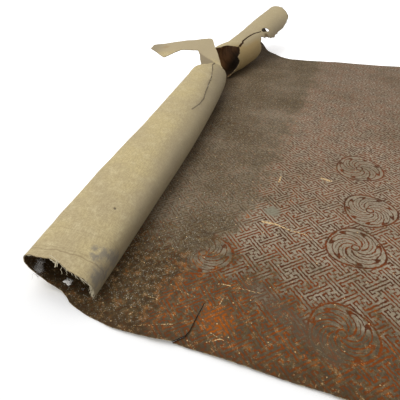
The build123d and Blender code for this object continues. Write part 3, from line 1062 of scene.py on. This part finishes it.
def back_material():
    """Plain back of the paper: tan, with a linen-like grain, creases and grey-blue stains."""
    material, tree, shader = new_material("plain_back")
    settings = bpy.context.scene.paper_scroll
    place, x, y = flat_place(tree)
    threads_along = mottle(place, 0.9, 4, 0.7, stretch=(1, 0.22, 1), shift=3)
    threads_across = mottle(place, 0.9, 4, 0.7, stretch=(0.3, 1, 1), shift=9)
    broad = mottle(place, 38, 3, 0.55, shift=21)
    middling = mottle(place, 9, 4, 0.6, shift=33)
    fine = mottle(place, 0.8, 2, 0.6, shift=51)
    threads = plus(threads_along, threads_across)
    base = painted(
        mixed(rising(broad, 0.3, 0.7), settings.back_colour, BACK_GREY),
        (rising(middling, 0.45, 0.75, 0, 0.5), BACK_LIGHT),
        (falling(threads, 0.8, 1.25, 0.5), BACK_DARK),
        (times(rising(y, 400, 460), 0.6), STRIP_GREY),
    )

    # Painted shade on the flank behind the gap, as a darker tan, and the strip with its stain and
    # the painted shade beyond its fold
    tan = times(rising(y, 402, 420), falling(y, 462, 486))
    tan = times(tan, falling(x, -106, -96))
    on_strip = times(falling(x, -16, -12), times(rising(y, 346, 356), falling(y, 397, 399)))
    spot = times_plus(middling, 12, vectors("DISTANCE", place, STRIP_SPOT))
    (start_x, start_y), (end_x, end_y) = STRIP_FOLD
    across_fold = Vector((end_y - start_y, start_x - end_x, 0)).normalized()
    beyond = vectors("SUBTRACT", place, (start_x, start_y, 0))
    beyond = vectors("DOT_PRODUCT", beyond, across_fold)
    # Painted shade beyond the strip's fold
    fold_shade = times(rising(beyond, -0.5, 1.5), rising(x, -52, -49))
    fold_shade = times(times(fold_shade, rising(y, 330, 334)), falling(x, -24, -18))
    base = painted(
        base,
        (times(tan, 0.75), TIP_FLANK_SHADED_TAN),
        (times(on_strip, 0.85), STRIP_GREY),
        (times(on_strip, falling(spot, 7, 12, 0.6)), STRIP_STAIN),
        (times(fold_shade, 0.8), STRIP_SHADE),
    )

    # Painted shadow along the front crack, painted shade on the flank, the torn paper at the hole
    # and a dark spot
    for start, end in zip(FRONT_CRACK, FRONT_CRACK[1:]):
        dark = scratch(place, cut_flat(*start), cut_flat(*end), 0.9)
        base = mixed(times(dark, 0.85), base, CRACK_SHADOW_AND_SPOT_BROWN)
    # Painted shade on the flank that faces away from the lamp
    flank = times(falling(x, -112, -90), times_plus(tan, -1, 1))
    torn = times_plus(middling, 6, vectors("DISTANCE", place, HOLE_FOOT))
    base = painted(
        base,
        (times(flank, 0.7), BACK_FLANK_SHADE),
        (falling(torn, 5.5, 9, 0.85), TORN_BROWN),
        (falling(vectors("DISTANCE", place, SPOT), 0.6, 1.4, 0.8), CRACK_SHADOW_AND_SPOT_BROWN),
    )

    # Creases along the mouth, with painted shade along them
    wander = times_plus(middling, 3.2, -1.6)
    from_mouth = plus(times_plus(x, CREASE_SLANT, 50 * CREASE_SLANT), plus(y, wander))
    creases = reduce(larger, [falling(absolute(minus(from_mouth, crease)), 0.1, 0.8, depth)
                              for crease, depth in MOUTH_CREASES])
    base = mixed(creases, base, BACK_CREASE_SHADE)

    # Grey-blue stains near the mouth
    patchy = plus(times_plus(middling, 1.6, -0.8),
                  times_plus(mottle(place, 3.5, 4, 0.65, shift=61), 1.4, -0.7))
    for centre, size in STAINS:
        stain = times_plus(vectors("DISTANCE", place, centre), 1 / size, patchy)
        base = mixed(falling(stain, 0.3, 1.1, 0.66), base, STAIN_BLUE)
    height = minus(plus(threads, times(fine, 0.4)), times(creases, 1.5))
    height = plus(height, times(middling, 1.5))
    fill_inputs(shader, {"Base Color": base, "Roughness": 0.82,
                         "Normal": relief(height, 0.35, 0.2)})
    return material


def torn_material():
    """Torn edge: pale fibres between browned layers."""
    material, tree, shader = new_material("torn_edge")
    place = flat_place(tree)[0]
    patches = mottle(place, 3, 3, 0.6)
    base = mixed(rising(patches, 0.4, 0.65), EDGE_BROWN, EDGE_TAN)
    # Painted shadow on the torn edges along the slit
    base = mixed(slit_shade(place, 1.2), base, SLIT_SHADOW_DARK)
    fill_inputs(shader, {"Base Color": base, "Roughness": 0.9})
    return material


def plain_material(name, colour):
    material, _, shader = new_material(name)
    fill_inputs(shader, {"Base Color": colour, "Roughness": 0.95, "Specular IOR Level": 0.1})
    return material


def floor_material():
    """A white seamless floor that keeps the shadow."""
    material, tree, shader = new_material("white_floor")
    fill_inputs(shader, {"Base Color": (0.8, 0.8, 0.8, 1), "Roughness": 0.9})
    rays = node(tree, "ShaderNodeLightPath").outputs
    seen = larger(rays["Is Camera Ray"], rays["Is Glossy Ray"])
    seen = larger(seen, rays["Is Transmission Ray"])
    where = node(tree, "ShaderNodeNewGeometry").outputs["Position"]
    depth = node(tree, "ShaderNodeSeparateXYZ", {0: where}).outputs[1]
    strength = times(seen, rising(depth, *GLOW_PLACES, GLOW_NEAR, GLOW_FAR))
    glow = node(tree, "ShaderNodeEmission", {"Color": (1, 1, 1, 1), "Strength": strength})
    both = node(tree, "ShaderNodeAddShader", {0: shader.outputs[0], 1: glow.outputs[0]})
    fill_inputs(tree.nodes["Material Output"], {"Surface": both.outputs[0]})
    return material


def colour_property(name, description, colour):
    return bpy.props.FloatVectorProperty(name=name, description=description, default=colour,
                                         size=4, min=0, max=1, subtype="COLOR")


def length_property(name, description, length, least):
    return bpy.props.FloatProperty(name=name, description=description, default=length, min=least,
                                   unit="LENGTH")


class PaperScrollSettings(bpy.types.PropertyGroup):
    edge_step: length_property(
        "Edge step", "Distance between the points of the torn outline", 0.8 * MM, 0.2 * MM)
    roll_step: length_property(
        "Roll step", "Distance between the mesh's points round the roll", 1.8 * MM, 0.5 * MM)
    flat_step: length_property(
        "Flat step", "Distance between the mesh's points on the flat part", 3.6 * MM, MM)
    floor_reach: length_property("Floor reach", "Half the width of the floor", 4, 1)
    silver_colour: colour_property("Silver", "The print's bands, where lightest", SILVER_LIGHT)
    line_colour: colour_property("Line", "The print's lines, where brownest", LINE_BROWN)
    worn_colour: colour_property("Worn ground", "The paper where the print is gone", OLIVE_LIGHT)
    back_colour: colour_property("Back", "The paper's plain back", BACK_YELLOW)


class SCROLL_OT_sheet(bpy.types.Operator):
    """Cut the sheet flat and curl it into its torn roll"""
    bl_idname = "scroll.sheet"
    bl_label = "Printed Sheet"

    def execute(self, context):
        settings = context.scene.paper_scroll
        step = settings.edge_step / MM
        loops = [sheet_outline(step)]
        for crack, width, end_width in ((FRONT_CRACK, 0.2, 0.05), (BACK_CRACK, 2.6, 1.6)):
            loops.append(sliver(flat_points(crack), width, end_width, 0.7, step))
        loops.append(sliver(EDGE_SLIT, 0.3, 0.05, 0, step))
        loops.append(frayed(flat_points(FAR_HOLE), 0.8, 17))
        fill = []
        for place in steps(*FILL_PLACES, FILL_STEP):
            length = roll_length(place)
            runs = steps(curl_start(place) - FLAT_LENGTH, 0, settings.flat_step / MM)
            runs += steps(0, length, settings.roll_step / MM)[1:]
            fill += [cut_flat(run, place) for run in runs]
        flat, triangles = triangulated(loops, fill)
        outer, normals = curled(flat)
        mesh = thick_paper("printed_sheet", flat, triangles, outer, normals, PAPER_THICKNESS)
        new_piece("printed_sheet", mesh, [print_material(), back_material(), torn_material()])
        return {"FINISHED"}


class SCROLL_OT_strip(bpy.types.Operator):
    """Shape the strip that is torn out of the roll's wall"""
    bl_idname = "scroll.strip"
    bl_label = "Torn Strip"

    def execute(self, context):
        step = context.scene.paper_scroll.edge_step / MM
        outline = frayed(stepped(STRIP_OUTLINE + STRIP_OUTLINE[:1], step)[:-1], 0.6, 41)
        fill = [(x, y) for x in steps(-120, -15, 2) for y in steps(335, 395, 2)]
        flat, triangles = triangulated([outline], fill)
        outer, normals = strip_surface(flat)
        mesh = thick_paper("torn_strip", flat, triangles[:, ::-1], outer, normals, PAPER_THICKNESS)
        new_piece("torn_strip", mesh, list(bpy.data.objects["printed_sheet"].data.materials))
        return {"FINISHED"}


class SCROLL_OT_fibres(bpy.types.Operator):
    """Add the loose fibres, the fluff and the white wad at the mouth, and the tip's torn fibres"""
    bl_idname = "scroll.fibres"
    bl_label = "Loose Fibres"

    def execute(self, context):
        dice = random.Random(11)
        for name, threads, material, colour in (
                ("mouth_fibres", mouth_threads, "loose_fibre", FIBRE_CREAM),
                ("grey_fluff", fluff_threads, "grey_fluff", FLUFF_GREY),
                ("tip_fibres", tip_threads, "brown_fibre", TORN_BROWN)):
            new_piece(name, fibre_mesh(name, threads(dice)), [plain_material(material, colour)])
        new_piece("white_wad", wad_mesh(), [plain_material("cotton_white", WAD_WHITE)])
        return {"FINISHED"}


class SCROLL_OT_stage(bpy.types.Operator):
    """Set the floor, the lamps and the camera"""
    bl_idname = "scroll.stage"
    bl_label = "Stage"

    def execute(self, context):
        reach = context.scene.paper_scroll.floor_reach
        mesh = bpy.data.meshes.new("floor")
        mesh.from_pydata([(-reach, -reach, 0), (reach, -reach, 0), (reach, reach, 0),
                          (-reach, reach, 0)], [], [(0, 1, 2, 3)])
        mesh.materials.append(floor_material())
        floor = bpy.data.objects.new("floor", mesh)
        floor.location.z = FLOOR_PLACE
        world = bpy.data.worlds.new("studio")
        world.use_nodes = True
        fill_inputs(world.node_tree.nodes["Background"],
                    {"Color": (1, 1, 1, 1), "Strength": WORLD_LIGHT})
        context.scene.world = world
        key = bpy.data.objects.new("key", bpy.data.lights.new("key", "AREA"))
        key.data.energy = LAMP_WATTS
        key.data.size = LAMP_SIZE
        key.location = LAMP_PLACE
        key.rotation_euler = (-key.location).to_track_quat("-Z", "Y").to_euler()
        camera = bpy.data.objects.new("camera", bpy.data.cameras.new("camera"))
        camera.data.lens = LENS
        camera.location = Vector(CAMERA_PLACE) * MM
        pitch = math.radians(CAMERA_PITCH)
        view = Vector([part * math.cos(pitch) for part in CAMERA_HEADING] + [-math.sin(pitch)])
        camera.rotation_euler = view.to_track_quat("-Z", "Y").to_euler()
        for thing in (floor, key, camera):
            context.scene.collection.objects.link(thing)
        context.scene.camera = camera
        context.scene.view_settings.view_transform = "Standard"
        return {"FINISHED"}


class SCROLL_PT_pieces(bpy.types.Panel):
    """The pieces of the scroll and their settings"""
    bl_idname = "SCROLL_PT_pieces"
    bl_label = "Paper Scroll"
    bl_space_type = "VIEW_3D"
    bl_region_type = "UI"
    bl_category = "Paper Scroll"

    def draw(self, context):
        settings = context.scene.paper_scroll
        for name in PaperScrollSettings.__annotations__:
            self.layout.prop(settings, name)
        for operator in OPERATORS:
            self.layout.operator(operator.bl_idname)


OPERATORS = (SCROLL_OT_sheet, SCROLL_OT_strip, SCROLL_OT_fibres, SCROLL_OT_stage)
CLASSES = (PaperScrollSettings,) + OPERATORS + (SCROLL_PT_pieces,)


def register():
    for cls in CLASSES:
        bpy.utils.register_class(cls)
    bpy.types.Scene.paper_scroll = bpy.props.PointerProperty(type=PaperScrollSettings)


def unregister():
    del bpy.types.Scene.paper_scroll
    for cls in reversed(CLASSES):
        bpy.utils.unregister_class(cls)


def main():
    register()
    bpy.ops.scroll.sheet()
    bpy.ops.scroll.strip()
    bpy.ops.scroll.fibres()
    bpy.ops.scroll.stage()


if __name__ == "__main__":
    main()
